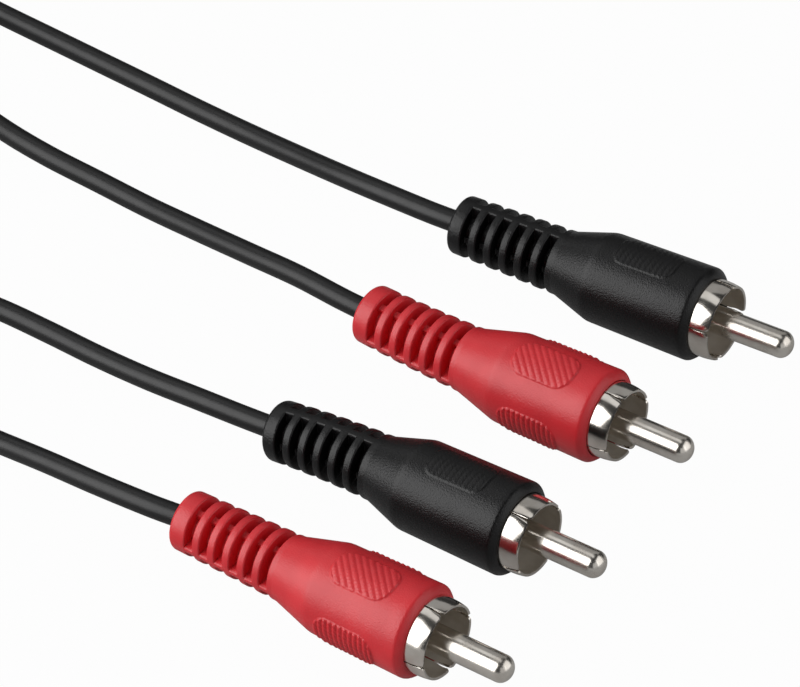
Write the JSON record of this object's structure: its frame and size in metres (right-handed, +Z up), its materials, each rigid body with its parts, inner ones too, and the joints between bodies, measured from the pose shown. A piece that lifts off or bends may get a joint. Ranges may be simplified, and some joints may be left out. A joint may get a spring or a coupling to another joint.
{
  "type": "stereo audio cable with phono plugs",
  "caption": "Stereo audio cable: moulded phono plugs with slotted strain reliefs on single leads that join into a twin lead wound in a tied coil.",
  "frame": {"origin": "middle of the row of plugs, on the surface that they lie on", "axes": "+X the way the plugs point, +Y along the row from the outer red plug to the outer black one, +Z up"},
  "size_m": [0.2119, 0.0801, 0.0135],
  "materials": {
    "black_moulding": "satin flexible PVC with a fine moulded grain",
    "red_moulding": "satin flexible PVC with a fine moulded grain",
    "nickel": "bright nickel plate",
    "insulator": "plain dark plastic",
    "lead_jacket": "smooth soft PVC, slightly glossy",
    "wire_insulation": "plain white insulation",
    "copper": "bare copper strands",
    "tie": "plain black ribbon over a wire"
  },
  "bodies": {
    "root": {"plug_1_black_moulding": "black_moulding", "plug_1_black_ground_shell": "nickel", "plug_1_black_insulator": "insulator", "plug_1_black_centre_pin": "nickel", "plug_1_black_signal_wire": "wire_insulation", "plug_1_black_shield_tail": "copper", "plug_2_red_moulding": "red_moulding", "plug_2_red_ground_shell": "nickel", "plug_2_red_insulator": "insulator", "plug_2_red_centre_pin": "nickel", "plug_2_red_signal_wire": "wire_insulation", "plug_2_red_shield_tail": "copper", "plug_3_black_moulding": "black_moulding", "plug_3_black_ground_shell": "nickel", "plug_3_black_insulator": "insulator", "plug_3_black_centre_pin": "nickel", "plug_3_black_signal_wire": "wire_insulation", "plug_3_black_shield_tail": "copper", "plug_4_red_moulding": "red_moulding", "plug_4_red_ground_shell": "nickel", "plug_4_red_insulator": "insulator", "plug_4_red_centre_pin": "nickel", "plug_4_red_signal_wire": "wire_insulation", "plug_4_red_shield_tail": "copper", "lead_1": "lead_jacket", "lead_2": "lead_jacket", "lead_3": "lead_jacket", "lead_4": "lead_jacket", "twin_lead_run_a": "lead_jacket", "twin_lead_run_b": "lead_jacket", "twin_lead_coil": "lead_jacket", "coil_tie": "tie"}
  },
  "joints": []
}
